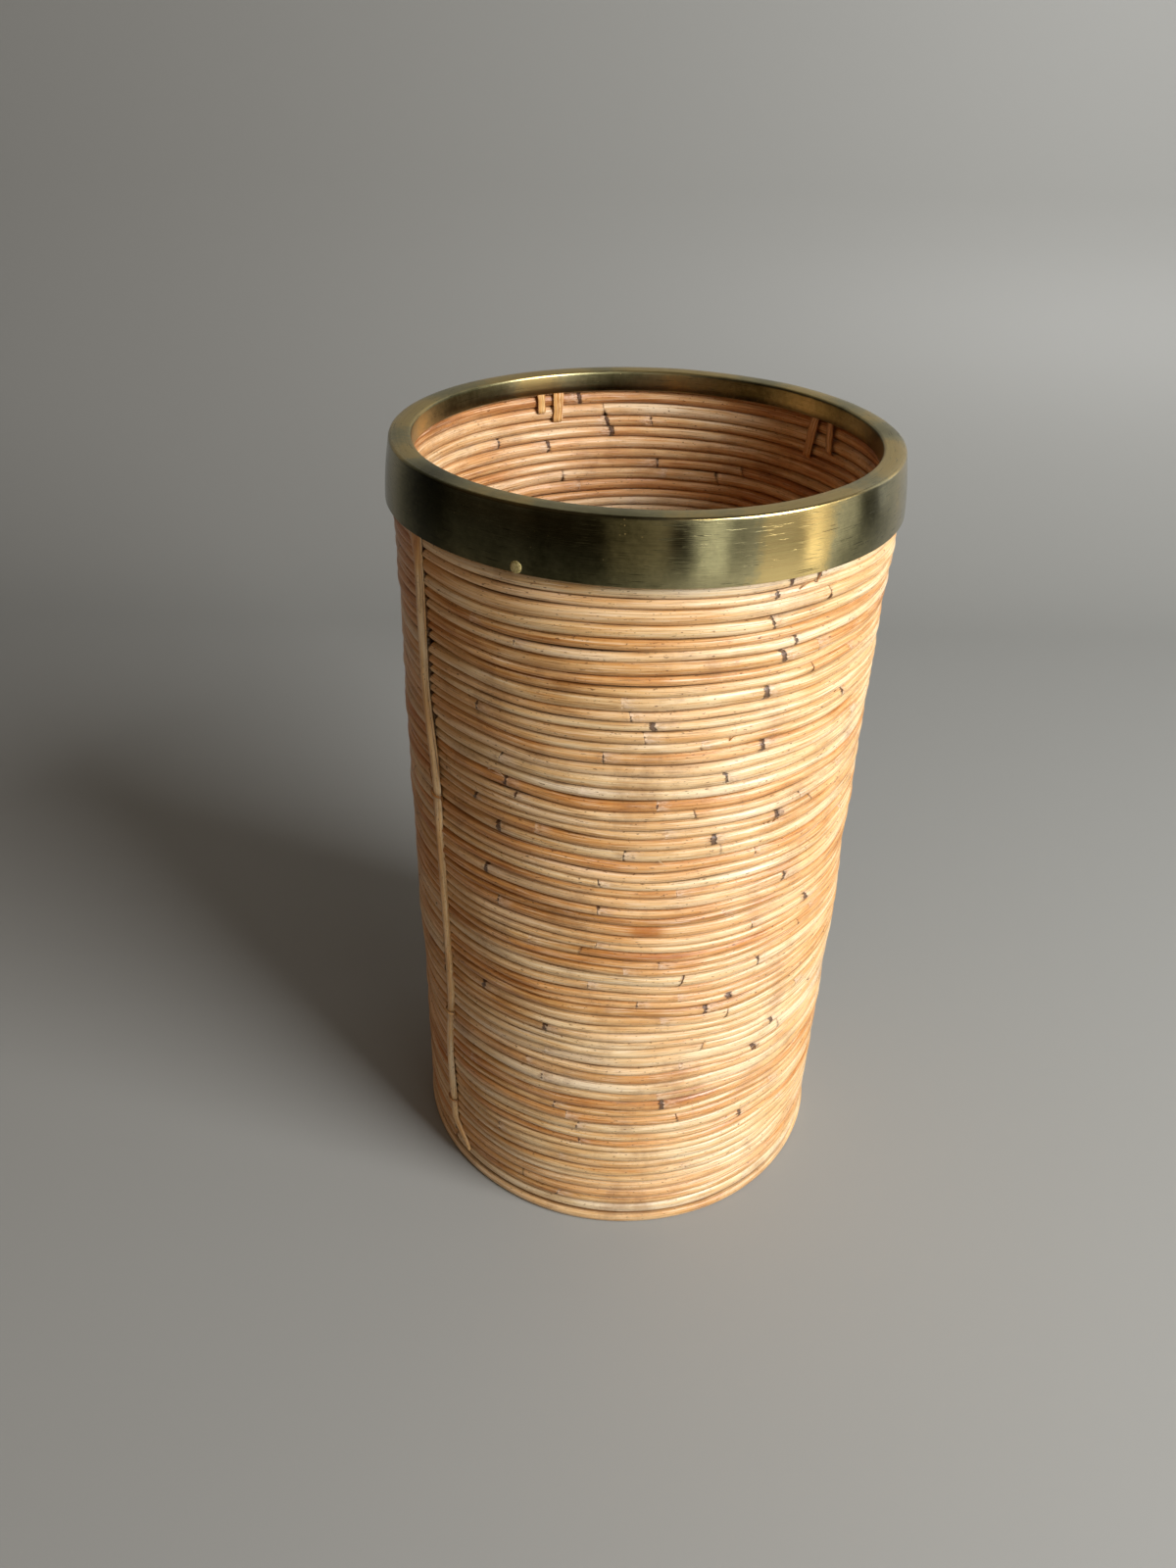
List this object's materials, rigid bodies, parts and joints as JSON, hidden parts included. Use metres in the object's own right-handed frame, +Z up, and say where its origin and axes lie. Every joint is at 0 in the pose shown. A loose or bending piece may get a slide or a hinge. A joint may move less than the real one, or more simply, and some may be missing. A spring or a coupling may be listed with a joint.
{
  "type": "umbrella stand",
  "caption": "Round upright umbrella stand of stacked pencil reed, with a brass channel rim, flat cane stakes, a covered seam and a plywood base.",
  "frame": {"origin": "on the floor, at the centre of the round foot", "axes": "+Z up along the axis of the round body; -Y is the front and +X the right of the front; the covered seam is 54 degrees left of the front"},
  "size_m": [0.27, 0.27, 0.462],
  "materials": {
    "aged_brass": "aged sheet brass with an olive brown patina, satin, finely scratched",
    "pencil_reed": "clear varnished peeled pencil reed, cream to honey, fine fibre streaks, satin",
    "flat_cane": "flat cane strip, warm brown, satin",
    "plywood": "unfinished plywood and bent wood, matt"
  },
  "bodies": {
    "root": {"brass_rim": "aged_brass", "rim_tack_1": "aged_brass", "rim_tack_2": "aged_brass", "rim_tack_3": "aged_brass", "rim_hoop": "plywood", "outer_reed_band_1": "pencil_reed", "outer_reed_band_2": "pencil_reed", "outer_reed_band_3": "pencil_reed", "outer_reed_band_4": "pencil_reed", "outer_reed_band_5": "pencil_reed", "outer_reed_band_6": "pencil_reed", "outer_reed_band_7": "pencil_reed", "outer_reed_band_8": "pencil_reed", "inner_reed_band_1": "pencil_reed", "inner_reed_band_2": "pencil_reed", "inner_reed_band_3": "pencil_reed", "inner_reed_band_4": "pencil_reed", "inner_reed_band_5": "pencil_reed", "inner_reed_band_6": "pencil_reed", "inner_reed_band_7": "pencil_reed", "inner_reed_band_8": "pencil_reed", "stake_1": "flat_cane", "stake_2": "flat_cane", "stake_3": "flat_cane", "stake_4": "flat_cane", "stake_5": "flat_cane", "stake_6": "flat_cane", "stake_7": "flat_cane", "stake_8": "flat_cane", "inner_lash_1": "flat_cane", "inner_lash_2": "flat_cane", "inner_lash_3": "flat_cane", "inner_lash_4": "flat_cane", "inner_lash_5": "flat_cane", "inner_lash_6": "flat_cane", "inner_lash_7": "flat_cane", "inner_lash_8": "flat_cane", "seam_cover": "pencil_reed", "seam_strand": "pencil_reed", "seam_tie_1": "flat_cane", "seam_tie_2": "flat_cane", "seam_tie_3": "flat_cane", "foot_ring": "pencil_reed", "base_disc": "plywood"}
  },
  "joints": []
}
